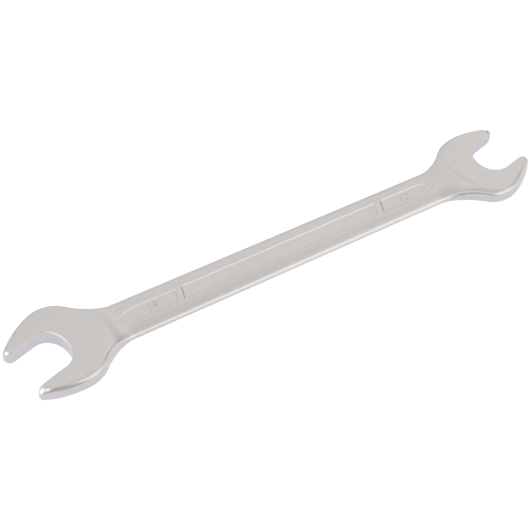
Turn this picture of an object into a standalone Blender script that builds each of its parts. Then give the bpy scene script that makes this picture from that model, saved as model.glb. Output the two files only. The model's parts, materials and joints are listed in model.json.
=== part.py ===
"""Double open ended wrench for 19 mm and 17 mm nuts, modelled as the single drop forging it is.

The shank runs along X, with the large head at -X and the small head at +X. Each jaw is turned
15 degrees from the shank, and the two heads point opposite ways, so the outline is unchanged in
kind by half a turn. The wrench lies flat on Z = 0, with its origin under the middle of its box.

A head is laid out in its own frame: its centre at the origin, the shank coming in from -X and the
jaw turned towards +Y. The side that the jaw turns towards is the lead side, the other the trail
side. Plan sizes are those of the outline at the parting plane, and heights are measured from
that plane, which is also the plane of symmetry between the two faces.
"""
import math
from collections import namedtuple

import bmesh
import bpy
from mathutils import Matrix, Vector

HEAD_SPACING = 0.1858
JAW_ANGLE = math.radians(15)

LARGE_JAW_GAP = 0.019
LARGE_THICKNESS = 0.007
LARGE_THROAT_DEPTH = 0.002
LARGE_THROAT_ROUND = 0.0073
LARGE_SHANK_HALF_WIDTH = 0.00915
LARGE_FACE_BULGE = 0.0062
LARGE_LEAD_HALF_WIDTH = 0.01985
LARGE_LEAD_BACK_SHIFT = -0.0012
LARGE_LEAD_BACK_RADIUS = 0.0161
LARGE_LEAD_NECK_RADIUS = 0.0203
LARGE_LEAD_PRONG_RADIUS = 0.0388
LARGE_LEAD_REACH = 0.0202
LARGE_LEAD_NOSE_RADIUS = 0.0016
LARGE_TRAIL_HALF_WIDTH = 0.01935
LARGE_TRAIL_BACK_SHIFT = 0.0003
LARGE_TRAIL_BACK_RADIUS = 0.0138
LARGE_TRAIL_NECK_RADIUS = 0.0245
LARGE_TRAIL_PRONG_RADIUS = 0.041
LARGE_TRAIL_REACH = 0.01875
LARGE_TRAIL_NOSE_RADIUS = 0.00185

SMALL_JAW_GAP = 0.017
SMALL_THICKNESS = 0.0065
SMALL_THROAT_DEPTH = 0.0016
SMALL_THROAT_ROUND = 0.0078
SMALL_SHANK_HALF_WIDTH = 0.0082
SMALL_FACE_BULGE = 0.003
SMALL_LEAD_HALF_WIDTH = 0.01685
SMALL_LEAD_BACK_SHIFT = -0.0036
SMALL_LEAD_BACK_RADIUS = 0.0132
SMALL_LEAD_NECK_RADIUS = 0.0136
SMALL_LEAD_PRONG_RADIUS = 0.0254
SMALL_LEAD_REACH = 0.0147
SMALL_LEAD_NOSE_RADIUS = 0.0013
SMALL_TRAIL_HALF_WIDTH = 0.01745
SMALL_TRAIL_BACK_SHIFT = 0.0009
SMALL_TRAIL_BACK_RADIUS = 0.0116
SMALL_TRAIL_NECK_RADIUS = 0.027
SMALL_TRAIL_PRONG_RADIUS = 0.0323
SMALL_TRAIL_REACH = 0.0151
SMALL_TRAIL_NOSE_RADIUS = 0.0018

# The forged bevel round a head changes width on its way, and the broached jaw has a small chamfer.
# Each prong slopes down to its tip, by a setback of its face along the jaw
LEAD_NECK_BEVEL = 0.0022
TRAIL_NECK_BEVEL = 0.0031
BACK_BEVEL = 0.0026
PRONG_BEVEL = 0.0006
LEAD_TIP_SETBACK = 0.0024
TRAIL_TIP_SETBACK = 0.0007
JAW_CHAMFER = 0.0002
HEAD_WALL_HEIGHT = 0.0019
NOSE_WALL_HEIGHT = 0.0009
FLAT_END_HEIGHT = 0.0015
HEAD_ROUNDNESS = 2.0

# The shank is crowned between two rounded edges, and rises to the coined flat face of each head
SHANK_CROWN = 0.0024
SHANK_EDGE_HEIGHT = 0.00125
SHANK_EDGE_WIDTH = 0.0012
SHANK_WALL_HEIGHT = 0.0001
SHANK_ROUNDNESS = 2.0
CROWN_POWER = 2.5
FACE_STEP = 0.00015

# Three panels are sunk into each side of the shank, with slanted ends between them
PANEL_FLOOR = 0.0019
PANEL_HALF_WIDTH = 0.0032
PANEL_CORNER_RADIUS = 0.0007
PANEL_SLANT = math.radians(15)
PANEL_WALL_SLOPE = 0.5
PANEL_RIB = 0.0023
LARGE_RIB_X = -0.0424
SMALL_RIB_X = 0.0456
LARGE_PANEL_SETBACK = 0.0234
SMALL_PANEL_SETBACK = 0.0214
PANEL_POINT_LENGTH = 0.0095
CUT_OVERRUN = 0.001

MERGE_DISTANCE = 0.00001
SHARP_ANGLE = math.radians(28)
THROAT_POWER = 2.1
BEVEL_STEPS = 5
BACK_STEPS = 10
PRONG_STEPS = 7
NOSE_STEPS = 7
THROAT_STEPS = 22
SHANK_STEPS = 8
ACROSS_STEPS = 12
CORNER_STEPS = 4
POINT_STEPS = 6
FLIP = Vector((1, -1))
NO_SETBACK = Vector((0, 0))
TIP_START_SHARE = 0.55
NECK_SHARES = (0.0, 0.12, 0.24, 0.36, 0.48, 0.6, 0.71, 0.81, 0.9, 0.97, 1.0)

STEEL_COLOUR = (0.62, 0.6, 0.58, 1.0)
STEEL_ROUGHNESS = 0.32

Side = namedtuple("Side", "half_width shift back neck prong reach nose neck_bevel tip")
Head = namedtuple("Head", "gap thickness depth rounding shank bulge lead trail")
# A rim says what stands on one point of the outline: the height of the upright wall, then the
# width and top of the bevel, whose roundness is 1 where it is flat and 2 where it is a quarter
# round, and the setback that moves the bevel's top along the jaw as well
Rim = namedtuple("Rim", "place wall width top roundness setback")

LARGE_HEAD = Head(
    LARGE_JAW_GAP, LARGE_THICKNESS, LARGE_THROAT_DEPTH, LARGE_THROAT_ROUND,
    LARGE_SHANK_HALF_WIDTH, LARGE_FACE_BULGE,
    Side(LARGE_LEAD_HALF_WIDTH, LARGE_LEAD_BACK_SHIFT, LARGE_LEAD_BACK_RADIUS,
         LARGE_LEAD_NECK_RADIUS, LARGE_LEAD_PRONG_RADIUS, LARGE_LEAD_REACH,
         LARGE_LEAD_NOSE_RADIUS, LEAD_NECK_BEVEL, LEAD_TIP_SETBACK),
    Side(LARGE_TRAIL_HALF_WIDTH, LARGE_TRAIL_BACK_SHIFT, LARGE_TRAIL_BACK_RADIUS,
         LARGE_TRAIL_NECK_RADIUS, LARGE_TRAIL_PRONG_RADIUS, LARGE_TRAIL_REACH,
         LARGE_TRAIL_NOSE_RADIUS, TRAIL_NECK_BEVEL, TRAIL_TIP_SETBACK),
)
SMALL_HEAD = Head(
    SMALL_JAW_GAP, SMALL_THICKNESS, SMALL_THROAT_DEPTH, SMALL_THROAT_ROUND,
    SMALL_SHANK_HALF_WIDTH, SMALL_FACE_BULGE,
    Side(SMALL_LEAD_HALF_WIDTH, SMALL_LEAD_BACK_SHIFT, SMALL_LEAD_BACK_RADIUS,
         SMALL_LEAD_NECK_RADIUS, SMALL_LEAD_PRONG_RADIUS, SMALL_LEAD_REACH,
         SMALL_LEAD_NOSE_RADIUS, LEAD_NECK_BEVEL, LEAD_TIP_SETBACK),
    Side(SMALL_TRAIL_HALF_WIDTH, SMALL_TRAIL_BACK_SHIFT, SMALL_TRAIL_BACK_RADIUS,
         SMALL_TRAIL_NECK_RADIUS, SMALL_TRAIL_PRONG_RADIUS, SMALL_TRAIL_REACH,
         SMALL_TRAIL_NOSE_RADIUS, TRAIL_NECK_BEVEL, TRAIL_TIP_SETBACK),
)


def clear_scene():
    for obj in list(bpy.data.objects):
        bpy.data.objects.remove(obj, do_unlink=True)


def mix(start, end, share):
    return start + (end - start) * share


def smooth(share):
    return share * share * (3 - 2 * share)


def even_shares(steps):
    return [step / steps for step in range(steps + 1)]


def heading(vector):
    return math.atan2(vector.y, vector.x)


def arc(centre, radius, start, end, shares):
    """Points on a circle, at these shares of the way from one angle to the other."""
    angles = [mix(start, end, share) for share in shares]
    return [centre + Vector((math.cos(angle), math.sin(angle))) * radius for angle in angles]


def clockwise(start, end):
    """The angle end, less the whole turns that put it clockwise of start."""
    return start - (start - end) % (2 * math.pi)


def side_arcs(head, side, jaw_angle):
    """The arcs of a head's +Y side, from shank to jaw: the neck, the back, the prong, the nose."""
    back = Vector((side.shift, side.half_width - side.back))
    rise = head.shank + side.neck - back.y
    run = math.sqrt((side.back + side.neck) ** 2 - rise ** 2)
    neck = Vector((back.x - run, head.shank + side.neck))
    nose = Vector((side.reach - side.nose, head.gap / 2 + side.nose))
    nose.rotate(Matrix.Rotation(jaw_angle, 2))
    # The prong's circle touches those of the back and the nose, and the larger holds the smaller
    span = nose - back
    to_back = side.prong - side.back
    to_nose = side.prong - side.nose
    along = (to_back ** 2 - to_nose ** 2 + span.length_squared) / (2 * span.length)
    across = math.copysign(math.sqrt(to_back ** 2 - along ** 2), to_back)
    ahead = span.normalized()
    prong = back + ahead * along + Vector((ahead.y, -ahead.x)) * across

    leave_neck = heading(neck - back)
    leave_back = clockwise(leave_neck, heading((back - prong) * to_back))
    leave_prong = clockwise(leave_back, heading(nose - prong))
    leave_nose = clockwise(leave_prong, jaw_angle - math.pi / 2)
    return (
        arc(neck, side.neck, -math.pi / 2, heading(back - neck), NECK_SHARES),
        arc(back, side.back, leave_neck, leave_back, even_shares(BACK_STEPS)),
        arc(prong, side.prong, leave_back, leave_prong, even_shares(PRONG_STEPS)),
        arc(nose, side.nose, leave_prong, leave_nose, even_shares(NOSE_STEPS)),
    )


def neck_rim(head, side, place, share):
    """The rim at a share of the way along a neck, from the shank to the head."""
    rise = smooth(share)
    top = head.thickness / 2
    if share < 1:
        top = mix(SHANK_EDGE_HEIGHT, top - FACE_STEP, rise)
    wall = mix(SHANK_WALL_HEIGHT, HEAD_WALL_HEIGHT, rise)
    width = mix(SHANK_EDGE_WIDTH, side.neck_bevel, rise)
    return Rim(place, wall, width, top, mix(SHANK_ROUNDNESS, HEAD_ROUNDNESS, rise), NO_SETBACK)


def side_rims(head, side, jaw_angle):
    """The rims of a head's +Y side in order, beginning with one for each of the neck's shares."""
    neck, back, prong, nose = side_arcs(head, side, jaw_angle)
    face = head.thickness / 2
    along_jaw = Vector((math.cos(jaw_angle), math.sin(jaw_angle)))
    rims = [neck_rim(head, side, place, share) for place, share in zip(neck, NECK_SHARES)]
    for place, share in zip(back[1:], even_shares(BACK_STEPS)[1:]):
        width = mix(side.neck_bevel, BACK_BEVEL, smooth(share))
        rims.append(Rim(place, HEAD_WALL_HEIGHT, width, face, HEAD_ROUNDNESS, NO_SETBACK))
    for place, share in zip(prong[1:], even_shares(PRONG_STEPS)[1:]):
        wall = mix(HEAD_WALL_HEIGHT, NOSE_WALL_HEIGHT, share)
        width = mix(BACK_BEVEL, PRONG_BEVEL, share)
        setback = side.tip * smooth(max(0, share - TIP_START_SHARE) / (1 - TIP_START_SHARE))
        rims.append(Rim(place, wall, width, face, HEAD_ROUNDNESS, along_jaw * -setback))
    for place, share in zip(nose[1:], even_shares(NOSE_STEPS)[1:]):
        wall = mix(NOSE_WALL_HEIGHT, FLAT_END_HEIGHT, smooth(share))
        width = mix(PRONG_BEVEL, JAW_CHAMFER, share)
        rims.append(Rim(place, wall, width, face, HEAD_ROUNDNESS, along_jaw * -side.tip))
    shoulder = nose[-1] - along_jaw * (side.tip + JAW_CHAMFER)
    rims.append(Rim(shoulder, face - JAW_CHAMFER, JAW_CHAMFER, face, 1, NO_SETBACK))
    return rims


def throat_rims(head):
    """The rims of the rounded bottom of the jaw, from the lead flat to the trail flat."""
    face = head.thickness / 2
    turn = Matrix.Rotation(JAW_ANGLE, 2)
    rims = []
    for share in even_shares(THROAT_STEPS):
        angle = math.pi * (0.5 - share)
        along = 1 - abs(math.cos(angle)) ** (2 / THROAT_POWER)
        across = math.copysign(abs(math.sin(angle)) ** (2 / THROAT_POWER), angle)
        place = Vector((head.rounding * along - head.depth, head.gap / 2 * across))
        place.rotate(turn)
        rims.append(Rim(place, face - JAW_CHAMFER, JAW_CHAMFER, face, 1, NO_SETBACK))
    return rims


def head_rims(head, centre_x, turned):
    """All rims of a head in its place on the wrench, clockwise from its lead neck to its trail neck."""
    lead = side_rims(head, head.lead, JAW_ANGLE)
    trail = [
        rim._replace(place=rim.place * FLIP, setback=rim.setback * FLIP)
        for rim in reversed(side_rims(head, head.trail, -JAW_ANGLE))
    ]
    sign = -1 if turned else 1
    return [
        rim._replace(place=Vector((centre_x, 0)) + rim.place * sign, setback=rim.setback * sign)
        for rim in lead + throat_rims(head) + trail
    ]


def shank_rims(start, end):
    """The rims along one edge of the shank, between the necks that start and end belong to."""
    return [
        start._replace(place=start.place.lerp(end.place, share))
        for share in even_shares(SHANK_STEPS)[1:-1]
    ]


def offset_directions(places):
    """The unit vector that points into a clockwise outline, at each of its points."""
    directions = []
    for before, after in zip(places[-1:] + places[:-1], places[1:] + places[:1]):
        along = (after - before).normalized()
        directions.append(Vector((along.y, -along.x)))
    return directions


def rim_column(bm, rim, inward):
    """Vertices from the parting plane up the wall and over the bevel to the face."""
    column = [bm.verts.new((*rim.place, 0))]
    for share in even_shares(BEVEL_STEPS):
        angle = share * math.pi / 2
        power = 2 / rim.roundness
        inset = 1 - math.cos(angle) ** power
        place = rim.place + (inward * rim.width + rim.setback) * inset
        height = mix(rim.wall, rim.top, math.sin(angle) ** power)
        column.append(bm.verts.new((*place, height)))
    return column


def rung(bm, near_top, far_top, middle_height, bulge):
    """Vertices across the shank or neck, between the tops of two rims, bowed along X by bulge."""
    row = [near_top]
    for share in even_shares(ACROSS_STEPS)[1:-1]:
        place = near_top.co.lerp(far_top.co, share)
        side = abs(2 * share - 1)
        place.x += bulge * (1 - side ** 2)
        place.z = mix(middle_height, place.z, side ** CROWN_POWER)
        row.append(bm.verts.new(place))
    return row + [far_top]


def neck_rungs(bm, head, lead_tops, trail_tops, turned):
    """The rungs of a neck from the shank to the head's face, each from +Y to -Y."""
    face = head.thickness / 2
    rungs = []
    for share, lead_top, trail_top in zip(NECK_SHARES, lead_tops, trail_tops):
        rise = smooth(share)
        middle = mix(SHANK_CROWN, face - FACE_STEP, rise) if share < 1 else face
        ends = (trail_top, lead_top) if turned else (lead_top, trail_top)
        rungs.append(rung(bm, *ends, middle, head.bulge * rise * (1 if turned else -1)))
    return rungs


def skin_between(bm, first, second):
    """Quads between two rows of vertices of equal length."""
    for i in range(len(first) - 1):
        bm.faces.new((first[i], first[i + 1], second[i + 1], second[i]))


def wrench_rims():
    """The rims of the whole outline clockwise, and where its four stretches start."""
    large = head_rims(LARGE_HEAD, -HEAD_SPACING / 2, True)
    small = head_rims(SMALL_HEAD, HEAD_SPACING / 2, False)
    near = shank_rims(small[-1], large[0])
    far = shank_rims(large[-1], small[0])
    return small + near + large + far, len(small), len(near), len(large)


def upper_half(bm, rims, small_count, near_count, large_count):
    """The half of the forging above the parting plane, open below."""
    inward = offset_directions([rim.place for rim in rims])
    columns = [rim_column(bm, rim, direction) for rim, direction in zip(rims, inward)]
    for column, following in zip(columns, columns[1:] + columns[:1]):
        skin_between(bm, column, following)

    tops = [column[-1] for column in columns]
    necks = len(NECK_SHARES)
    small = tops[:small_count]
    near = tops[small_count:small_count + near_count]
    large = tops[small_count + near_count:][:large_count]
    far = tops[small_count + near_count + large_count:]
    small_rungs = neck_rungs(bm, SMALL_HEAD, small[:necks], small[:-necks - 1:-1], False)
    large_rungs = neck_rungs(bm, LARGE_HEAD, large[:necks], large[:-necks - 1:-1], True)
    shank = [rung(bm, a, b, SHANK_CROWN, 0) for a, b in zip(far, reversed(near))]
    rungs = large_rungs[::-1] + shank + small_rungs
    for row, following in zip(rungs, rungs[1:]):
        skin_between(bm, row, following)

    small_face = small[necks - 1:1 - necks] + small_rungs[-1][-2:0:-1]
    large_face = large[necks - 1:1 - necks] + large_rungs[-1][1:-1]
    for face in (small_face, large_face):
        bm.faces.new(reversed(face))


def mesh_object(name, bm):
    mesh = bpy.data.meshes.new(name)
    bm.to_mesh(mesh)
    bm.free()
    obj = bpy.data.objects.new(name, mesh)
    bpy.context.scene.collection.objects.link(obj)
    return obj


def mirror_below(obj):
    """Adds the other half, on the far side of the parting plane."""
    mirror = obj.modifiers.new("lower_half", "MIRROR")
    mirror.use_axis = (False, False, True)
    mirror.merge_threshold = MERGE_DISTANCE


def ogive(tip_x, shoulder_x, half_width):
    """Points of a pointed end, from its -Y shoulder round its tip to its +Y shoulder."""
    length = abs(shoulder_x - tip_x)
    radius = (length ** 2 + half_width ** 2) / (2 * half_width)
    side = []
    for share in even_shares(POINT_STEPS):
        run = length * share
        width = half_width - radius + math.sqrt(radius ** 2 - run ** 2)
        side.append(Vector((mix(shoulder_x, tip_x, share), width)))
    return [Vector((p.x, -p.y)) for p in side] + side[-2::-1]


def slanted_end(middle_x, outward, half_width):
    """Points of a slanted end with two round corners, clockwise round a panel."""
    lean = math.tan(PANEL_SLANT)
    corners = []
    for sign in (outward, -outward):
        corner = Vector((middle_x + sign * half_width * lean, sign * half_width))
        along_side = Vector((-outward, 0))
        along_end = Vector((-sign * lean, -sign)).normalized()
        opening = along_side.angle(along_end)
        setback = PANEL_CORNER_RADIUS / math.tan(opening / 2)
        middle = (along_side + along_end).normalized()
        centre = corner + middle * PANEL_CORNER_RADIUS / math.sin(opening / 2)
        first, last = along_side, along_end
        if sign != outward:
            first, last = along_end, along_side
        start = heading(corner + first * setback - centre)
        end = clockwise(start, heading(corner + last * setback - centre))
        corners += arc(centre, PANEL_CORNER_RADIUS, start, end, even_shares(CORNER_STEPS))
    return corners


def panel_outlines():
    """The three panels' outlines where they meet the shank's crown, each clockwise from above."""
    large_tip = LARGE_PANEL_SETBACK - HEAD_SPACING / 2
    small_tip = HEAD_SPACING / 2 - SMALL_PANEL_SETBACK
    half_rib = PANEL_RIB / 2
    large_end = ogive(large_tip, large_tip + PANEL_POINT_LENGTH, PANEL_HALF_WIDTH)
    small_end = ogive(small_tip, small_tip - PANEL_POINT_LENGTH, PANEL_HALF_WIDTH)
    return {
        "large_panel": large_end + slanted_end(LARGE_RIB_X - half_rib, 1, PANEL_HALF_WIDTH),
        "middle_panel": slanted_end(LARGE_RIB_X + half_rib, -1, PANEL_HALF_WIDTH)
        + slanted_end(SMALL_RIB_X - half_rib, 1, PANEL_HALF_WIDTH),
        "small_panel": small_end[::-1] + slanted_end(SMALL_RIB_X + half_rib, -1, PANEL_HALF_WIDTH),
    }


def panel_cutter(name, outline):
    """A tapered block that cuts one panel from both sides of the shank."""
    inward = offset_directions(outline)
    top = max(LARGE_THICKNESS, SMALL_THICKNESS) / 2 + CUT_OVERRUN
    bm = bmesh.new()
    rings = []
    for height in (PANEL_FLOOR, top):
        inset = (SHANK_CROWN - height) * PANEL_WALL_SLOPE
        rings.append([
            bm.verts.new((*(place + direction * inset), height))
            for place, direction in zip(outline, inward)
        ])
    floor, roof = rings
    bm.faces.new(floor)
    bm.faces.new(reversed(roof))
    for i in range(len(floor)):
        bm.faces.new((floor[i - 1], roof[i - 1], roof[i], floor[i]))
    cutter = mesh_object(name + "_cutter", bm)
    mirror_below(cutter)
    cutter.hide_render = True
    cutter.display_type = "WIRE"
    return cutter


def satin_chrome():
    material = bpy.data.materials.new("satin_chrome")
    material.use_nodes = True
    shader = material.node_tree.nodes["Principled BSDF"]
    shader.inputs["Base Color"].default_value = STEEL_COLOUR
    shader.inputs["Metallic"].default_value = 1
    shader.inputs["Roughness"].default_value = STEEL_ROUGHNESS
    return material


def forging():
    """The wrench: a blank mirrored about its parting plane, with the panels sunk into it."""
    rims, *counts = wrench_rims()
    bm = bmesh.new()
    upper_half(bm, rims, *counts)
    wrench = mesh_object("wrench_forging", bm)
    wrench.data.shade_smooth()
    wrench.data.set_sharp_from_angle(angle=SHARP_ANGLE)
    wrench.data.materials.append(satin_chrome())
    mirror_below(wrench)

    xs = [rim.place.x for rim in rims]
    ys = [rim.place.y for rim in rims]
    middle = Vector((max(xs) + min(xs), max(ys) + min(ys), 0)) / 2
    wrench.location = Vector((0, 0, LARGE_THICKNESS / 2)) - middle
    for name, outline in panel_outlines().items():
        cutter = panel_cutter(name, outline)
        cutter.location = wrench.location
        cut = wrench.modifiers.new(name, "BOOLEAN")
        cut.operation = "DIFFERENCE"
        cut.solver = "EXACT"
        cut.object = cutter
    return wrench


clear_scene()
forging()
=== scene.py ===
"""The looks of a double open ended wrench: one satin chrome forging on a white table.

The wrench lies along X with its large head at -X. Sizes are in metres. A head is laid out in its
own frame, with its centre at the origin, the shank coming in from -X and the jaw turned towards
+Y. The side that the jaw turns towards is the lead side, the other the trail side.
"""
import json
import math
from collections import Counter, namedtuple

import bpy
import numpy as np
from mathutils import Matrix, Vector

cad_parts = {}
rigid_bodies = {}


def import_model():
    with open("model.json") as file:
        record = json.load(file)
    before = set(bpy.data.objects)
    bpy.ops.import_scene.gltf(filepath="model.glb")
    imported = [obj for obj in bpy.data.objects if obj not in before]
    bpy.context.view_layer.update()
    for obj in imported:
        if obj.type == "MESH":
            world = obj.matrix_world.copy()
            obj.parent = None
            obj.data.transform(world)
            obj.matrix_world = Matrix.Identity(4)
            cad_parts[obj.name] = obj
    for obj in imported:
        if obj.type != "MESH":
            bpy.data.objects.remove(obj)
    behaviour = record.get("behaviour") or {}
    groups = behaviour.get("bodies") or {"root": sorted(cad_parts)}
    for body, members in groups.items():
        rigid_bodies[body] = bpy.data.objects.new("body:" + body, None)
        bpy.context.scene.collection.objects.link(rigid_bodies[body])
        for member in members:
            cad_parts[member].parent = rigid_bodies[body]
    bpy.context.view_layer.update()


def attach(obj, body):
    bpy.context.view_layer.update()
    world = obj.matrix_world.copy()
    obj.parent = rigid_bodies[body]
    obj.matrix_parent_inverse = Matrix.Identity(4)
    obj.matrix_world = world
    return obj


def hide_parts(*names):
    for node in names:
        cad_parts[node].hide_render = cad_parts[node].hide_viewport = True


for leftover in list(bpy.data.objects):
    bpy.data.objects.remove(leftover)
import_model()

MM = 0.001
MERGE_DISTANCE = 0.002 * MM
SHARP_ANGLE = math.radians(28)

HEAD_SPACING = 185.8 * MM
JAW_ANGLE = math.radians(15)
THROAT_POWER = 2.1

# A side of a head: its greatest half width and where along X that stands, the radii of its back,
# neck and prong arcs, how far its nose reaches along the jaw and the nose's radius, the width of
# its bevel at the neck and at the prong's end, and how far the bevel's top is set back at the tip
Side = namedtuple("Side", "half_width shift back neck prong reach nose neck_bevel prong_bevel tip")

# A head: the jaw's gap, the thickness, how far the jaw's bottom lies behind the head's centre, the
# length and the chamfer of that rounded bottom, the half width of the shank where the neck meets
# it, and how far the line round the coined face bulges towards the shank
Head = namedtuple("Head", "gap thickness depth rounding chamfer shank bulge lead trail")
LARGE_HEAD = Head(
    gap=19 * MM, thickness=7 * MM, depth=2 * MM, rounding=7.3 * MM, chamfer=0.3 * MM,
    shank=9.15 * MM, bulge=6.2 * MM,
    lead=Side(
        half_width=19.835 * MM, shift=-1.2 * MM, back=16.1 * MM, neck=20.3 * MM, prong=38.8 * MM,
        reach=20.2 * MM, nose=1.6 * MM, neck_bevel=2.4 * MM, prong_bevel=0.6 * MM, tip=2.6 * MM),
    trail=Side(
        half_width=19.335 * MM, shift=0.3 * MM, back=13.8 * MM, neck=24.5 * MM, prong=41 * MM,
        reach=18.75 * MM, nose=1.85 * MM, neck_bevel=3.1 * MM, prong_bevel=1.2 * MM, tip=0.9 * MM),
)
SMALL_HEAD = Head(
    gap=17 * MM, thickness=6.5 * MM, depth=1.6 * MM, rounding=7.8 * MM, chamfer=0.1 * MM,
    shank=8.2 * MM, bulge=3 * MM,
    lead=Side(
        half_width=16.85 * MM, shift=-3.6 * MM, back=13.2 * MM, neck=13.6 * MM, prong=25.4 * MM,
        reach=14.7 * MM, nose=1.3 * MM, neck_bevel=2.4 * MM, prong_bevel=0.6 * MM, tip=1.8 * MM),
    trail=Side(
        half_width=17.45 * MM, shift=0.9 * MM, back=11.6 * MM, neck=27 * MM, prong=32.3 * MM,
        reach=15.1 * MM, nose=1.8 * MM, neck_bevel=3.1 * MM, prong_bevel=0.9 * MM, tip=0.7 * MM),
)

# The heads' edges. A wall stands upright from the middle plane up to its height here, and the bevel
# above it leads to the face. On a prong the bevel turns from round to flatter within PRONG_FLAT of
# its length. At the tip the setback runs in over TIP_RUN times its own size. The chamfer round the
# jaw's bottom grows within THROAT_CHAMFER_RUN of the way round from each flat
BACK_BEVEL = 3.2 * MM
FLAT_CHAMFER = 0.08 * MM
THROAT_CHAMFER_SLOPE = 0.55
THROAT_CHAMFER_RUN = 0.3
HEAD_WALL = 1.9 * MM
NOSE_WALL = 1.5 * MM
FLAT_END = 1.8 * MM
HEAD_FULLNESS = 0.7
NOSE_FULLNESS = 0.35
HEAD_SLOPE = 0.04
TIP_RUN = 2.3
PRONG_FLAT = 0.8
FLIP = Vector((1, -1))

# The shank and the necks. The shank's edge is lower than its crown, and a neck has risen from that
# within NECK_LEVEL of its length. The coined face steps up within the last STEP_RUN of the neck
NECK_LEVEL = 0.6
SHANK_CROWN = 2.4 * MM
SHANK_EDGE = 1.25 * MM
SHANK_EDGE_WIDTH = 1.2 * MM
SHANK_WALL = 0.1 * MM
SHANK_FULLNESS = 0.7
CROWN_POWER = 2.5
FACE_STEP = 0.16 * MM
STEP_RUN = 0.14

# The sunken panels between the heads, with a slanted rib at each end of the long one. The slant
# fades out over SLANT_FADE towards the points, whose depths are shares of the full depth
PANEL_FLOOR = 1.9 * MM
PANEL_HALF_WIDTH = 3.2 * MM
PANEL_SLANT = math.radians(15)
PANEL_WALL = 0.48 * MM
PANEL_RIB = 2.3 * MM
PANEL_CORNER = 0.7 * MM
SLANT_FADE = 14 * MM
LARGE_RIB_X = -42.4 * MM
SMALL_RIB_X = 45.6 * MM
LARGE_PANEL_TIP_X = 23.4 * MM - HEAD_SPACING / 2
SMALL_PANEL_TIP_X = HEAD_SPACING / 2 - 21.4 * MM
PANEL_POINT = 9.5 * MM
MIN_PANEL_HALF_WIDTH = 0.3 * MM
LARGE_TIP_DEPTH = 0.65
SMALL_TIP_DEPTH = 0.35

BEVEL_STEPS = 10
NECK_STEPS = 40
BACK_STEPS = 24
PRONG_STEPS = 24
NOSE_STEPS = 14
THROAT_STEPS = 48
CROWN_STEPS = 9

# Where the deck's rungs stand along the shank: close together round the panels' points, and closest
# at the ribs' walls, at these distances in millimetres. No other rung stands within WALL_CLEARANCE
# of those, and none within END_CLEARANCE of the necks
STATION_GAP = 2 * MM
POINT_STATION_GAP = 0.6 * MM
LARGE_POINT_END = 36 * MM - HEAD_SPACING / 2
SMALL_POINT_START = HEAD_SPACING / 2 - 34 * MM
WALL_STATIONS = (
    -0.3, -0.1, -0.03, 0, 0.04, 0.09, 0.14, 0.19, 0.24, 0.29, 0.34, 0.4, 0.5, 0.65, 0.8, 1, 1.5)
WALL_CLEARANCE = 0.1 * MM
END_CLEARANCE = 0.2 * MM

# Where the points of a rung stand: on the panel's floor by shares of its half width, and on the
# panel's wall by shares of the wall's width inwards, with one more point just outside the wall, by
# LIP. The floor takes at least MIN_FLOOR of a panel's half width
FLOOR_ROWS = (0, 0.35, 0.65, 0.78, 0.84, 0.88, 0.92, 0.96)
WALL_ROWS = (-0.1, 0, 0.04, 0.12, 0.26, 0.42, 0.58, 0.74, 0.88, 0.96)
MIN_FLOOR = 0.4
LIP = 0.4

# The camera: the photograph's width and the focal length in pixels, the sensor's width in
# millimetres, then the way to the camera in degrees, and its distance from the point it aims at
IMAGE_WIDTH = 530
SENSOR_WIDTH = 36
CAMERA_FOCUS = 2600
CAMERA_AZIMUTH = -28.59
CAMERA_ELEVATION = 52.53
CAMERA_DISTANCE = 1.01021
CAMERA_AIM = Vector((-5.12 * MM, 0.43 * MM, 0))
CAMERA_CLIP = 10 * MM

# The studio: each panel of light or shade is a patch of the sky, by the azimuth and the width, then
# the elevation and the height, then the softness of its edge, all in degrees, and its brightness
STUDIO_LEVEL = 1.08
FULL_CIRCLE = 360
HALF_CIRCLE = 180
WHITE = (1, 1, 1, 1)
Patch = namedtuple("Patch", "azimuth width elevation height edge level")
STUDIO_PATCHES = (
    Patch(110, 100, 50, 80, 60, 0.9),
    Patch(-170, 100, 30, 90, 30, 1.7),
    Patch(0, FULL_CIRCLE, 90, 44, 20, 0.78),
    Patch(2, 50, 50, 22, 12, 0.8),
    Patch(24, 50, 28, 30, 14, 0.38),
    Patch(85, 110, -2, 24, 12, 0.55),
    Patch(-72, 92, 49, 36, 16, 1.4),
)

# A dark card beside the camera, by the azimuth and elevation of its corners from the wrench, in
# degrees
CARD_DISTANCE = 0.5
CARD_CORNERS = ((-84, -5), (-94, 66), (-136, 66), (-136, -5))
CARD_LEVEL = 0.6

# The table's size, its paint, how brightly it glows and the colour of that glow in the metal
FLOOR_SIZE = 4
FLOOR_PAINT = (0.24, 0.24, 0.24, 1)
FLOOR_GLOW = 0.86
# Painted reflection: the metal sees the table's glow in this bluish tint, which the camera doesn't
# see
FLOOR_REFLECTION_TINT = (0.85, 0.865, 0.985, 1)

# The raised size numbers. From the curve steps down, lengths are in the font's own size
NUMBER_HEIGHT = 3.4 * MM
NUMBER_RISE = 0.24 * MM
LARGE_NUMBER_X = -54 * MM
SMALL_NUMBER_X = 57 * MM
NUMBER_CURVE_STEPS = 5
NUMBER_DEPTH = 0.12
NUMBER_OUTLINE_SHIFT = -0.01
NUMBER_BEVEL = 0.015
NUMBER_MERGE_DISTANCE = 0.0005

# The plate: broad clouds of tone and height, and two sizes of blasting grain
CLOUD_SCALE = 90
CLOUD_HEIGHT = 0.06 * MM
CLOUD_COLOURS = ((0.6, 0.575, 0.555, 1), (0.65, 0.62, 0.6, 1))
BLAST_SCALE = 1400
BLAST_RANGE = (0.3, 0.7)
BLAST_ROUGHNESS = (0.2, 0.3)
GRAIN_SCALE = 4000
GRAIN_HEIGHT = 0.004 * MM
COARSE_DETAIL = 3
FINE_DETAIL = 2

# The places of a Mix node's sockets
MIX_SHARE, MIX_NUMBERS, MIX_COLOURS = 0, (2, 3), (6, 7)
MIX_NUMBER_OUT, MIX_COLOUR_OUT = 0, 2

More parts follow.
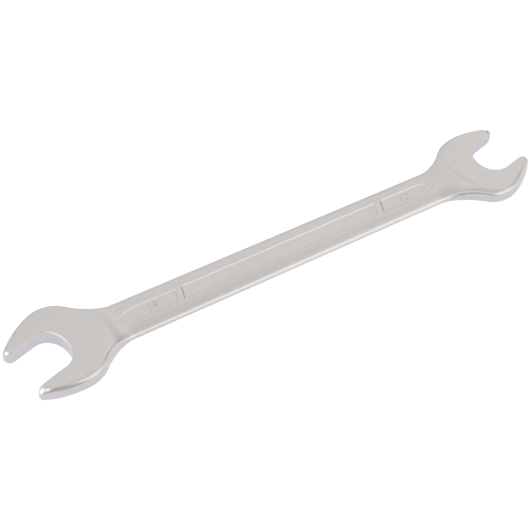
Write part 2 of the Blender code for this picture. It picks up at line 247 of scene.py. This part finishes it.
# A rim says what stands on one point of the outline: its place, the height of the upright wall,
# then the bevel's width and top, its slope at the top, its fullness from 0 for a flat bevel to
# about 0.7 for a quarter round, and the setback that moves its top along the jaw as well
Rim = namedtuple("Rim", "place wall width top slope fullness setback")
NO_SETBACK = Vector((0, 0))

# A rung is a line of points across the deck: its two ends, its share of the way along a neck, the
# head it leads to, and the sign of the way that the head's face line bulges, or 0 on the shank
Rung = namedtuple("Rung", "far near share head bulge_sign")


def mix(start, end, share):
    return start + (end - start) * share


def smooth(share):
    share = np.clip(share, 0, 1)
    return share * share * (3 - 2 * share)


def even(steps):
    return [step / steps for step in range(steps + 1)]


def heading(vector):
    return math.atan2(vector.y, vector.x)


def arc(centre, radius, start, end, steps):
    angles = [mix(start, end, share) for share in even(steps)]
    return [centre + Vector((math.cos(angle), math.sin(angle))) * radius for angle in angles]


def clockwise(start, end):
    """The angle end, less the whole turns that put it clockwise of start."""
    return start - (start - end) % (2 * math.pi)


def side_arcs(head, side, jaw_angle):
    """The arcs of a head's +Y side, from shank to jaw: the neck, the back, the prong, the nose."""
    back = Vector((side.shift, side.half_width - side.back))
    rise = head.shank + side.neck - back.y
    run = math.sqrt((side.back + side.neck) ** 2 - rise ** 2)
    neck = Vector((back.x - run, head.shank + side.neck))
    nose = Vector((side.reach - side.nose, head.gap / 2 + side.nose))
    nose.rotate(Matrix.Rotation(jaw_angle, 2))
    span = nose - back
    to_back = side.prong - side.back
    to_nose = side.prong - side.nose
    along = (to_back ** 2 - to_nose ** 2 + span.length_squared) / (2 * span.length)
    across = math.copysign(math.sqrt(to_back ** 2 - along ** 2), to_back)
    ahead = span.normalized()
    prong = back + ahead * along + Vector((ahead.y, -ahead.x)) * across

    leave_neck = heading(neck - back)
    leave_back = clockwise(leave_neck, heading((back - prong) * to_back))
    leave_prong = clockwise(leave_back, heading(nose - prong))
    leave_nose = clockwise(leave_prong, jaw_angle - math.pi / 2)
    return (
        arc(neck, side.neck, -math.pi / 2, heading(back - neck), NECK_STEPS),
        arc(back, side.back, leave_neck, leave_back, BACK_STEPS),
        arc(prong, side.prong, leave_back, leave_prong, PRONG_STEPS),
        arc(nose, side.nose, leave_prong, leave_nose, NOSE_STEPS),
    )


def neck_rim(head, side, place, share):
    """The rim at a share of the way along a neck, from the shank to the head."""
    face = head.thickness / 2
    rise = smooth(share)
    level = smooth(share / NECK_LEVEL)
    top = mix(SHANK_CROWN, face, rise) - (SHANK_CROWN - SHANK_EDGE) * (1 - level)
    width = mix(SHANK_EDGE_WIDTH, side.neck_bevel, rise)
    shank_slope = (SHANK_CROWN - SHANK_EDGE) * CROWN_POWER / (abs(place.y) - width)
    slope = mix(shank_slope, HEAD_SLOPE, level)
    return Rim(
        place, mix(SHANK_WALL, HEAD_WALL, rise), width, top, slope,
        mix(SHANK_FULLNESS, HEAD_FULLNESS, rise), NO_SETBACK,
    )


def side_rims(head, side, jaw_angle):
    """The rims of a head's +Y side, from the shank to the jaw."""
    neck, back, prong, nose = side_arcs(head, side, jaw_angle)
    face = head.thickness / 2
    along_jaw = Vector((math.cos(jaw_angle), math.sin(jaw_angle)))
    length = sum((end - start).length for start, end in zip(prong, prong[1:]))
    rims = [neck_rim(head, side, place, share) for place, share in zip(neck, even(NECK_STEPS))]
    for place, share in list(zip(back, even(BACK_STEPS)))[1:]:
        width = mix(side.neck_bevel, BACK_BEVEL, smooth(share))
        rims.append(Rim(place, HEAD_WALL, width, face, HEAD_SLOPE, HEAD_FULLNESS, NO_SETBACK))
    for place, share in list(zip(prong, even(PRONG_STEPS)))[1:]:
        wall = mix(HEAD_WALL, NOSE_WALL, share)
        width = mix(BACK_BEVEL, side.prong_bevel, share)
        fullness = mix(HEAD_FULLNESS, NOSE_FULLNESS, float(smooth(share / PRONG_FLAT)))
        tip = max(0, 1 - (1 - share) * length / (TIP_RUN * side.tip)) ** 2
        setback = along_jaw * -side.tip * tip
        rims.append(Rim(place, wall, width, face, HEAD_SLOPE, fullness, setback))
    for place, share in list(zip(nose, even(NOSE_STEPS)))[1:]:
        wall = mix(NOSE_WALL, FLAT_END, smooth(share))
        width = mix(side.prong_bevel, FLAT_CHAMFER, share)
        rims.append(Rim(place, wall, width, face, 0, NOSE_FULLNESS, along_jaw * -side.tip))
    shoulder = nose[-1] - along_jaw * (side.tip + FLAT_CHAMFER)
    rims.append(Rim(shoulder, face - FLAT_CHAMFER, FLAT_CHAMFER, face, 0, 0, NO_SETBACK))
    return rims


def throat_rims(head):
    """The rims of the rounded bottom of the jaw, from the lead flat to the trail flat."""
    face = head.thickness / 2
    turn = Matrix.Rotation(JAW_ANGLE, 2)
    rims = []
    for share in even(THROAT_STEPS):
        angle = math.pi * (0.5 - share)
        along = 1 - abs(math.cos(angle)) ** (2 / THROAT_POWER)
        across = math.copysign(abs(math.sin(angle)) ** (2 / THROAT_POWER), angle)
        place = Vector((head.rounding * along - head.depth, head.gap / 2 * across))
        place.rotate(turn)
        growth = float(smooth(min(share, 1 - share) / THROAT_CHAMFER_RUN))
        width = mix(FLAT_CHAMFER, head.chamfer, growth)
        drop = mix(FLAT_CHAMFER, head.chamfer * THROAT_CHAMFER_SLOPE, growth)
        rims.append(Rim(place, face - drop, width, face, 0, 0, NO_SETBACK))
    return rims


def head_rims(head, centre_x, turned):
    """All rims of a head in place, clockwise from its lead neck to its trail neck."""
    lead = side_rims(head, head.lead, JAW_ANGLE)
    trail = [
        rim._replace(place=rim.place * FLIP, setback=rim.setback * FLIP)
        for rim in reversed(side_rims(head, head.trail, -JAW_ANGLE))
    ]
    sign = -1 if turned else 1
    return [
        rim._replace(place=Vector((centre_x, 0)) + rim.place * sign, setback=rim.setback * sign)
        for rim in lead + throat_rims(head) + trail
    ]


def shank_stations(start, end):
    """Places along the shank, close together at the panels' end walls and round their tips."""
    stations = list(np.arange(start, LARGE_POINT_END, POINT_STATION_GAP))
    stations += list(np.arange(stations[-1] + STATION_GAP, SMALL_POINT_START, STATION_GAP))
    stations += list(np.arange(SMALL_POINT_START, end, POINT_STATION_GAP))
    for rib in (LARGE_RIB_X, SMALL_RIB_X):
        for side in (-1, 1):
            wall = rib + side * PANEL_RIB / 2
            close = [wall + side * offset * MM for offset in WALL_STATIONS]
            low, high = min(close) - WALL_CLEARANCE, max(close) + WALL_CLEARANCE
            stations = [x for x in stations if not low < x < high] + close
    return sorted(x for x in stations if start + END_CLEARANCE < x < end - END_CLEARANCE)


def shank_rims(start, end, shares):
    """The rims along one edge of the shank, between the rims start and end."""
    return [
        start._replace(
            place=start.place.lerp(end.place, share), slope=mix(start.slope, end.slope, share))
        for share in shares
    ]


def inward_directions(places):
    """The unit vector that points into a clockwise outline, at each of its points."""
    ahead = np.roll(places, -1, axis=0) - np.roll(places, 1, axis=0)
    ahead /= np.linalg.norm(ahead, axis=1)[:, None]
    return np.stack([ahead[:, 1], -ahead[:, 0]], axis=1)


def rim_sheet(rims):
    """Points of the wall and bevel all round the outline, one column for each rim."""
    places = np.array([tuple(rim.place) for rim in rims])
    setback = np.array([tuple(rim.setback) for rim in rims])
    wall, width, top, slope, fullness = np.array(
        [(rim.wall, rim.width, rim.top, rim.slope, rim.fullness) for rim in rims]).T
    reach = inward_directions(places) * width[:, None] + setback
    rows = [np.column_stack([places, np.zeros(len(rims))])]
    for share in even(BEVEL_STEPS):
        # A rational curve from the wall to the deck, tangent to both
        low, mid, high = (1 - share) ** 2, 2 * fullness * share * (1 - share), share ** 2
        total = low + mid + high
        inset = (high / total)[:, None]
        height = (low * wall + mid * (top - width * slope) + high * top) / total
        rows.append(np.column_stack([places + reach * inset, height]))
    return np.array(rows)


def across_places(panel_half, half):
    """Places across half a rung, from the middle to the rim, close together at the panel's wall."""
    inner = max(panel_half - PANEL_WALL, MIN_FLOOR * panel_half)
    wall = panel_half - inner
    places = [share * inner for share in FLOOR_ROWS]
    places += [panel_half - wall * share for share in reversed(WALL_ROWS)]
    places += [panel_half + LIP * wall]
    return places + [mix(places[-1], half, share) for share in even(CROWN_STEPS)[1:]]


def ogive_half_width(distance):
    """Half the width of a panel's pointed end, at a distance from its tip."""
    radius = (PANEL_POINT ** 2 + PANEL_HALF_WIDTH ** 2) / (2 * PANEL_HALF_WIDTH)
    run = np.clip(PANEL_POINT - distance, 0, PANEL_POINT)
    return PANEL_HALF_WIDTH - radius + np.sqrt(radius ** 2 - run ** 2)


def panel_half_width(x):
    """Half the width of the row of panels, at x along the shank."""
    return np.minimum(
        ogive_half_width(x - LARGE_PANEL_TIP_X), ogive_half_width(SMALL_PANEL_TIP_X - x))


def rounded_inside(side, end):
    """How far a point lies inside a corner, from its distances to the two walls."""
    reach = np.hypot(np.maximum(PANEL_CORNER - side, 0), np.maximum(PANEL_CORNER - end, 0))
    in_corner = np.maximum(side, end) < PANEL_CORNER
    return np.where(in_corner, PANEL_CORNER - reach, np.minimum(side, end))


def panel_depth_share(x, y):
    """How far down the panels' walls a point lies: 0 on the crown, 1 on a panel's floor."""
    inside = panel_half_width(x) - np.abs(y)
    for rib in (LARGE_RIB_X, SMALL_RIB_X):
        off_rib = np.abs(x - y * math.tan(PANEL_SLANT) - rib) - PANEL_RIB / 2
        inside = rounded_inside(inside, off_rib)
    return smooth(inside / PANEL_WALL)


def deck_rungs(large_tops, small_tops, shank_far, shank_near):
    """The rungs of the deck between the two heads' faces, from the large head to the small one."""
    necks = NECK_STEPS + 1
    large_lead, large_trail = large_tops[:necks], large_tops[:-necks - 1:-1]
    small_lead, small_trail = small_tops[:necks], small_tops[:-necks - 1:-1]
    large = [
        Rung(large_trail[i], large_lead[i], i / NECK_STEPS, LARGE_HEAD, 1)
        for i in reversed(range(necks))
    ]
    shank = [Rung(far, near, 0, SMALL_HEAD, 0) for far, near in zip(shank_far, shank_near[::-1])]
    small = [
        Rung(small_lead[i], small_trail[i], i / NECK_STEPS, SMALL_HEAD, -1) for i in range(necks)
    ]
    return large + shank + small


def rung_slant(middle_x):
    """How far the rungs lean at a place along the shank: as the ribs do, but not by the heads."""
    return math.tan(PANEL_SLANT) * float(
        smooth((middle_x - LARGE_PANEL_TIP_X - PANEL_POINT) / SLANT_FADE)
        * smooth((SMALL_PANEL_TIP_X - PANEL_POINT - middle_x) / SLANT_FADE))


def point_depth_share(middle_x):
    """How deep the panels are at a place along the shank: 1, but less towards the two points."""
    return (
        mix(LARGE_TIP_DEPTH, 1, float(smooth((middle_x - LARGE_PANEL_TIP_X) / PANEL_POINT)))
        * mix(SMALL_TIP_DEPTH, 1, float(smooth((SMALL_PANEL_TIP_X - middle_x) / PANEL_POINT))))


def rung_points(rung):
    """The points of one rung of the deck, from its far end to its near one."""
    far, near, share, head, bulge_sign = rung
    rise = smooth(share)
    step = FACE_STEP * (1 - float(smooth((share - 1 + STEP_RUN) / STEP_RUN)))
    crown = mix(SHANK_CROWN, head.thickness / 2, rise) - step * rise
    middle_x = (far[0] + near[0]) / 2
    half = (far[1] - near[1]) / 2
    panel_half = max(float(panel_half_width(middle_x)), MIN_PANEL_HALF_WIDTH)
    places = np.array(across_places(panel_half, half))
    across = np.concatenate([places[::-1], -places[1:]]) / half

    slant = rung_slant(middle_x)
    outside = smooth((np.abs(across) * half - panel_half) / (half - panel_half))
    y = mix(near[1], far[1], (across + 1) / 2)
    level = mix(near[0], far[0], (across + 1) / 2)
    x = mix(mix(level, middle_x + slant * y, slant / math.tan(PANEL_SLANT)), level, outside)
    x = x + bulge_sign * head.bulge * rise * (1 - across ** 2)

    edge = mix(near[2], far[2], (across + 1) / 2)
    z = mix(crown, edge, np.abs(across) ** CROWN_POWER)
    depth_share = panel_depth_share(x, y) * point_depth_share(middle_x)
    z = mix(z, np.minimum(z, PANEL_FLOOR), depth_share)
    points = np.stack([x, y, z], axis=1)
    points[0], points[-1] = far, near
    return points


def deselect():
    bpy.ops.object.select_all(action="DESELECT")


def sheet_object(name, points):
    """A grid whose vertices are pressed to an array of points, row by row."""
    rows, columns = points.shape[:2]
    deselect()
    bpy.ops.mesh.primitive_grid_add(x_subdivisions=columns - 1, y_subdivisions=rows - 1, size=1)
    obj = bpy.context.object
    obj.name = name
    flat = np.empty(rows * columns * 3, np.float32)
    obj.data.vertices.foreach_get("co", flat)
    flat = flat.reshape(-1, 3)
    column = np.rint((flat[:, 0] + 0.5) * (columns - 1)).astype(int)
    row = np.rint((flat[:, 1] + 0.5) * (rows - 1)).astype(int)
    obj.data.vertices.foreach_set("co", points[row, column].astype(np.float32).ravel())
    obj.data.update()
    return obj


def wrench_rims():
    """The rims of the whole outline, clockwise: the small head, near edge, large head, far edge."""
    large = head_rims(LARGE_HEAD, -HEAD_SPACING / 2, True)
    small = head_rims(SMALL_HEAD, HEAD_SPACING / 2, False)
    start = (large[0].place.x + large[-1].place.x) / 2
    end = (small[0].place.x + small[-1].place.x) / 2
    shares = [(x - start) / (end - start) for x in shank_stations(start, end)]
    near = shank_rims(small[-1], large[0], [1 - share for share in reversed(shares)])
    far = shank_rims(large[-1], small[0], shares)
    return small, near, large, far


def centring(stretches):
    """The move from the middle between the head centres to the middle of the outline's box."""
    places = [rim.place for stretch in stretches for rim in stretch]
    xs = [place.x for place in places]
    ys = [place.y for place in places]
    return Vector((-(max(xs) + min(xs)) / 2, -(max(ys) + min(ys)) / 2, 0))


def fill_face(body, sign, head):
    """Closes the flat face of the head that stands on one side, -X or +X, of the wrench."""
    # Merging can leave a point of the border a little below the face
    lowest = head.thickness / 2 - 2 * MERGE_DISTANCE
    mesh = body.data
    for element in (*mesh.vertices, *mesh.edges, *mesh.polygons):
        element.select = False
    uses = Counter(key for polygon in mesh.polygons for key in polygon.edge_keys)
    for edge in mesh.edges:
        ends = [mesh.vertices[i].co for i in edge.vertices]
        on_face = all(end.z > lowest and end.x * sign > 0 for end in ends)
        edge.select = uses[edge.key] == 1 and on_face
    bpy.ops.object.mode_set(mode="EDIT")
    bpy.ops.mesh.select_mode(type="EDGE")
    bpy.ops.mesh.edge_face_add()
    bpy.ops.object.mode_set(mode="OBJECT")


def build_forging(stretches):
    """One solid out of the rim sheet and the deck sheet, and their mirror image below."""
    small, near, large, far = stretches
    rim_points = rim_sheet(small + near + large + far)
    tops = rim_points[-1]
    marks = np.cumsum([0] + [len(stretch) for stretch in stretches])
    small_tops, near_tops, large_tops, far_tops = (tops[a:b] for a, b in zip(marks, marks[1:]))

    rim = sheet_object("rim", np.concatenate([rim_points, rim_points[:, :1]], axis=1))
    rungs = deck_rungs(large_tops, small_tops, far_tops, near_tops)
    deck = sheet_object("deck", np.array([rung_points(rung) for rung in rungs]))
    deselect()
    rim.select_set(True)
    deck.select_set(True)
    bpy.context.view_layer.objects.active = rim
    bpy.ops.object.join()
    body = bpy.context.object
    body.name = "wrench_body"

    bpy.ops.object.mode_set(mode="EDIT")
    bpy.ops.mesh.select_all(action="SELECT")
    bpy.ops.mesh.remove_doubles(threshold=MERGE_DISTANCE)
    bpy.ops.object.mode_set(mode="OBJECT")
    for sign, head in ((-1, LARGE_HEAD), (1, SMALL_HEAD)):
        fill_face(body, sign, head)

    mirror = body.modifiers.new("underside", "MIRROR")
    mirror.use_axis = (False, False, True)
    mirror.merge_threshold = MERGE_DISTANCE
    bpy.ops.object.modifier_apply(modifier=mirror.name)
    bpy.ops.object.mode_set(mode="EDIT")
    bpy.ops.mesh.select_all(action="SELECT")
    bpy.ops.mesh.normals_make_consistent(inside=False)
    bpy.ops.object.mode_set(mode="OBJECT")
    return body


def size_number(text, x, side):
    """A raised size number on the floor of a panel, on the upper side (1) or the lower one (-1)."""
    deselect()
    bpy.ops.object.text_add()
    number = bpy.context.object
    number.data.body = text
    number.data.align_x = "CENTER"
    number.data.align_y = "CENTER"
    number.data.resolution_u = NUMBER_CURVE_STEPS
    number.data.extrude = NUMBER_DEPTH
    number.data.offset = NUMBER_OUTLINE_SHIFT
    number.data.bevel_depth = NUMBER_BEVEL
    number.data.bevel_resolution = 1
    bpy.ops.object.convert(target="MESH")
    bpy.ops.object.mode_set(mode="EDIT")
    bpy.ops.mesh.select_all(action="SELECT")
    bpy.ops.mesh.remove_doubles(threshold=NUMBER_MERGE_DISTANCE)
    bpy.ops.mesh.normals_make_consistent(inside=False)
    bpy.ops.object.mode_set(mode="OBJECT")
    top = max(vertex.co.z for vertex in number.data.vertices)
    ys = [vertex.co.y for vertex in number.data.vertices]
    scale = NUMBER_HEIGHT / (max(ys) - min(ys))
    place = Matrix.Translation((x, 0, side * (PANEL_FLOOR + NUMBER_RISE)))
    turn = Matrix.Rotation(0 if side > 0 else math.pi, 4, "X")
    number.data.transform(place @ turn @ Matrix.Scale(scale, 4) @ Matrix.Translation((0, 0, -top)))
    return number


def raise_numbers(body):
    """Joins the size numbers to the panels' floors."""
    for text, x in (("19", LARGE_NUMBER_X), ("17", SMALL_NUMBER_X)):
        for side in (1, -1):
            number = size_number(text, x, side)
            union = body.modifiers.new("number", "BOOLEAN")
            union.operation = "UNION"
            union.solver = "EXACT"
            union.object = number
            bpy.context.view_layer.objects.active = body
            bpy.ops.object.modifier_apply(modifier=union.name)
            bpy.data.objects.remove(number)


def finish_forging(body, shift):
    """Moves the forging to its place, with smooth curves, crisp edges and flat faces."""
    body.data.transform(Matrix.Translation(shift + Vector((0, 0, LARGE_HEAD.thickness / 2))))
    deselect()
    body.select_set(True)
    bpy.context.view_layer.objects.active = body
    bpy.ops.object.shade_smooth_by_angle(angle=SHARP_ANGLE)
    flat = body.modifiers.new("flat_faces", "WEIGHTED_NORMAL")
    flat.keep_sharp = True
    bpy.ops.object.modifier_apply(modifier=flat.name)


def build_camera(shift):
    """The camera of the photograph: a long lens, looking down at the near side."""
    azimuth, elevation = math.radians(CAMERA_AZIMUTH), math.radians(CAMERA_ELEVATION)
    back = Vector((
        math.sin(azimuth) * math.cos(elevation),
        -math.cos(azimuth) * math.cos(elevation),
        math.sin(elevation),
    ))
    data = bpy.data.cameras.new("camera")
    data.sensor_width = SENSOR_WIDTH
    data.lens = SENSOR_WIDTH * CAMERA_FOCUS / IMAGE_WIDTH
    data.clip_start = CAMERA_CLIP
    camera = bpy.data.objects.new("camera", data)
    bpy.context.scene.collection.objects.link(camera)
    camera.location = CAMERA_AIM + shift + back * CAMERA_DISTANCE
    camera.rotation_euler = back.to_track_quat("Z", "Y").to_euler()
    bpy.context.scene.camera = camera


def feed(links, socket, value):
    """Gives a socket its value, which is a number or another node's output."""
    if isinstance(value, (int, float)):
        socket.default_value = value
    else:
        links.new(value, socket)


def math_node(nodes, links, operation, *values):
    """A Math node fed by these numbers or sockets. Returns its output."""
    node = nodes.new("ShaderNodeMath")
    node.operation = operation
    for socket, value in zip(node.inputs, values):
        feed(links, socket, value)
    return node.outputs[0]


def mix_node(nodes, links, share, *values):
    """A Mix node between two numbers or sockets. Returns its output."""
    node = nodes.new("ShaderNodeMix")
    links.new(share, node.inputs[MIX_SHARE])
    for index, value in zip(MIX_NUMBERS, values):
        feed(links, node.inputs[index], value)
    return node.outputs[MIX_NUMBER_OUT]


def colour_mix_node(nodes, links, share, *colours):
    """A Mix node between two colours. Returns its output."""
    node = nodes.new("ShaderNodeMix")
    node.data_type = "RGBA"
    links.new(share, node.inputs[MIX_SHARE])
    for index, colour in zip(MIX_COLOURS, colours):
        node.inputs[index].default_value = colour
    return node.outputs[MIX_COLOUR_OUT]


def white_light(nodes):
    """A white Background node."""
    light = nodes.new("ShaderNodeBackground")
    light.inputs["Color"].default_value = WHITE
    return light


def patch_mask(nodes, links, offset, size, edge):
    """1 within a patch of the sky, across one of its two directions, and 0 outside it."""
    mask = nodes.new("ShaderNodeMapRange")
    mask.interpolation_type = "SMOOTHSTEP"
    mask.inputs["From Min"].default_value = (size + edge) / 2
    mask.inputs["From Max"].default_value = (size - edge) / 2
    links.new(math_node(nodes, links, "ABSOLUTE", offset), mask.inputs["Value"])
    return mask.outputs["Result"]


def build_world():
    """A plain soft studio, whose patches of light and shade show in the metal."""
    world = bpy.data.worlds.new("studio")
    bpy.context.scene.world = world
    world.use_nodes = True
    world.cycles.sampling_method = "NONE"
    nodes, links = world.node_tree.nodes, world.node_tree.links
    nodes.clear()
    direction = nodes.new("ShaderNodeTexCoord")
    axes = nodes.new("ShaderNodeSeparateXYZ")
    links.new(direction.outputs["Generated"], axes.inputs[0])
    azimuth = math_node(nodes, links, "ARCTAN2", axes.outputs["Y"], axes.outputs["X"])
    azimuth = math_node(nodes, links, "DEGREES", azimuth)
    elevation = math_node(nodes, links, "ARCSINE", axes.outputs["Z"])
    elevation = math_node(nodes, links, "DEGREES", elevation)
    level = STUDIO_LEVEL
    for patch in STUDIO_PATCHES:
        above = math_node(nodes, links, "SUBTRACT", elevation, patch.elevation)
        mask = patch_mask(nodes, links, above, patch.height, patch.edge)
        if patch.width != FULL_CIRCLE:
            around = math_node(nodes, links, "SUBTRACT", azimuth, patch.azimuth)
            around = math_node(nodes, links, "WRAP", around, HALF_CIRCLE, -HALF_CIRCLE)
            side_mask = patch_mask(nodes, links, around, patch.width, patch.edge)
            mask = math_node(nodes, links, "MULTIPLY", side_mask, mask)
        level = mix_node(nodes, links, mask, level, patch.level)
    studio = white_light(nodes)
    links.new(level, studio.inputs["Strength"])
    backdrop = white_light(nodes)
    path = nodes.new("ShaderNodeLightPath")
    choice = nodes.new("ShaderNodeMixShader")
    output = nodes.new("ShaderNodeOutputWorld")
    links.new(path.outputs["Is Camera Ray"], choice.inputs[0])
    links.new(studio.outputs[0], choice.inputs[1])
    links.new(backdrop.outputs[0], choice.inputs[2])
    links.new(choice.outputs[0], output.inputs["Surface"])


def build_floor():
    """The white table. It glows a little to the camera, so that only the wrench's shadow shows."""
    deselect()
    bpy.ops.mesh.primitive_plane_add(size=FLOOR_SIZE)
    floor = bpy.context.object
    floor.name = "floor"
    material = bpy.data.materials.new("white_table")
    material.use_nodes = True
    nodes, links = material.node_tree.nodes, material.node_tree.links
    nodes.clear()
    paint = nodes.new("ShaderNodeBsdfDiffuse")
    paint.inputs["Color"].default_value = FLOOR_PAINT
    path = nodes.new("ShaderNodeLightPath")
    seen = math_node(
        nodes, links, "MAXIMUM", path.outputs["Is Camera Ray"], path.outputs["Is Glossy Ray"])
    # Painted reflection: to glossy rays the table glows bluish, a colour it doesn't show the camera
    reflection_tint = colour_mix_node(
        nodes, links, path.outputs["Is Glossy Ray"], WHITE, FLOOR_REFLECTION_TINT)
    glow = nodes.new("ShaderNodeEmission")
    links.new(reflection_tint, glow.inputs["Color"])
    links.new(math_node(nodes, links, "MULTIPLY", seen, FLOOR_GLOW), glow.inputs["Strength"])
    both = nodes.new("ShaderNodeAddShader")
    output = nodes.new("ShaderNodeOutputMaterial")
    links.new(paint.outputs[0], both.inputs[0])
    links.new(glow.outputs[0], both.inputs[1])
    links.new(both.outputs[0], output.inputs["Surface"])
    floor.data.materials.append(material)


def build_card():
    """A dark card near the wrench, which only the metal reflects."""
    deselect()
    bpy.ops.mesh.primitive_plane_add()
    card = bpy.context.object
    card.name = "card"
    bottom_right, top_right, top_left, bottom_left = CARD_CORNERS
    for vertex, corner in zip(card.data.vertices, (bottom_left, bottom_right, top_left, top_right)):
        azimuth, elevation = (math.radians(angle) for angle in corner)
        vertex.co = CARD_DISTANCE * Vector((
            math.cos(azimuth) * math.cos(elevation),
            math.sin(azimuth) * math.cos(elevation),
            math.sin(elevation),
        ))
    card.visible_camera = False
    card.visible_diffuse = False
    card.visible_shadow = False
    material = bpy.data.materials.new("dark_card")
    material.use_nodes = True
    material.cycles.emission_sampling = "NONE"
    nodes, links = material.node_tree.nodes, material.node_tree.links
    nodes.clear()
    shade = nodes.new("ShaderNodeEmission")
    shade.inputs["Strength"].default_value = CARD_LEVEL
    output = nodes.new("ShaderNodeOutputMaterial")
    links.new(shade.outputs[0], output.inputs["Surface"])
    card.data.materials.append(material)


def noise_node(nodes, links, place, scale, detail):
    """A Noise node in the piece's own coordinates. Returns its output."""
    noise = nodes.new("ShaderNodeTexNoise")
    noise.inputs["Scale"].default_value = scale
    noise.inputs["Detail"].default_value = detail
    links.new(place.outputs["Object"], noise.inputs["Vector"])
    return noise.outputs["Fac"]


def satin_chrome():
    """Satin chrome plate over a blasted forging."""
    material = bpy.data.materials.new("satin_chrome")
    material.use_nodes = True
    nodes, links = material.node_tree.nodes, material.node_tree.links
    shader = nodes["Principled BSDF"]
    shader.inputs["Metallic"].default_value = 1
    place = nodes.new("ShaderNodeTexCoord")
    clouds = noise_node(nodes, links, place, CLOUD_SCALE, COARSE_DETAIL)
    blast = noise_node(nodes, links, place, BLAST_SCALE, COARSE_DETAIL)
    grain = noise_node(nodes, links, place, GRAIN_SCALE, FINE_DETAIL)
    links.new(colour_mix_node(nodes, links, clouds, *CLOUD_COLOURS), shader.inputs["Base Color"])

    gloss = nodes.new("ShaderNodeMapRange")
    gloss.inputs["From Min"].default_value, gloss.inputs["From Max"].default_value = BLAST_RANGE
    gloss.inputs["To Min"].default_value, gloss.inputs["To Max"].default_value = BLAST_ROUGHNESS
    links.new(blast, gloss.inputs["Value"])
    links.new(gloss.outputs["Result"], shader.inputs["Roughness"])

    waves = nodes.new("ShaderNodeBump")
    waves.inputs["Distance"].default_value = CLOUD_HEIGHT
    links.new(clouds, waves.inputs["Height"])
    bump = nodes.new("ShaderNodeBump")
    bump.inputs["Distance"].default_value = GRAIN_HEIGHT
    links.new(grain, bump.inputs["Height"])
    links.new(waves.outputs["Normal"], bump.inputs["Normal"])
    links.new(bump.outputs["Normal"], shader.inputs["Normal"])
    return material


bpy.context.scene.view_settings.view_transform = "Standard"
stretches = wrench_rims()
shift = centring(stretches)
build_camera(shift)
build_world()
build_floor()
build_card()
body = build_forging(stretches)
raise_numbers(body)
finish_forging(body, shift)
body.data.materials.append(satin_chrome())
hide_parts("wrench_forging")
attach(body, "root")
